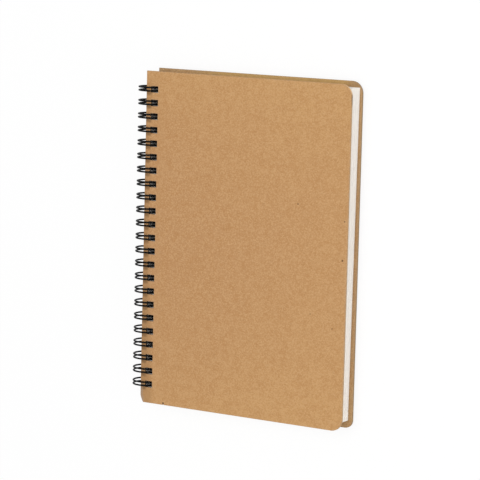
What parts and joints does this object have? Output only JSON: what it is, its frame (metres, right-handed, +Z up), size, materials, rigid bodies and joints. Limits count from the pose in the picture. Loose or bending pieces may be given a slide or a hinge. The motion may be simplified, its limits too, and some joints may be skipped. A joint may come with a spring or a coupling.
{
  "type": "spiral notebook",
  "caption": "Closed A5 notebook with plain kraft board covers, a thick block of white sheets and a black twin-loop wire binding along its left side.",
  "frame": {"origin": "bottom centre of the box around the whole notebook as it lies closed on its back", "axes": "+Z up out of the front cover, +Y towards the head, +X towards the fore edge, so the wire runs along Y at -X"},
  "size_m": [0.1574, 0.2108, 0.0186],
  "materials": {
    "kraft_board": "matte uncoated kraft",
    "paper": "matte uncoated white",
    "black_wire": "gloss black coating"
  },
  "bodies": {
    "book": {"page_block": "paper", "twin_loop_wire": "black_wire"},
    "front": {"front_cover": "kraft_board"},
    "back": {"back_cover": "kraft_board"}
  },
  "joints": [
    {"name": "front_cover_hinge", "type": "hinge", "parent": "book", "child": "front", "pos_m": [-0.0694, 0, 0.0093], "axis": [0, -1, 0], "range_deg": [0, 180]},
    {"name": "back_cover_hinge", "type": "hinge", "parent": "book", "child": "back", "pos_m": [-0.0694, 0, 0.0093], "axis": [0, 1, 0], "range_deg": [0, 180]}
  ]
}
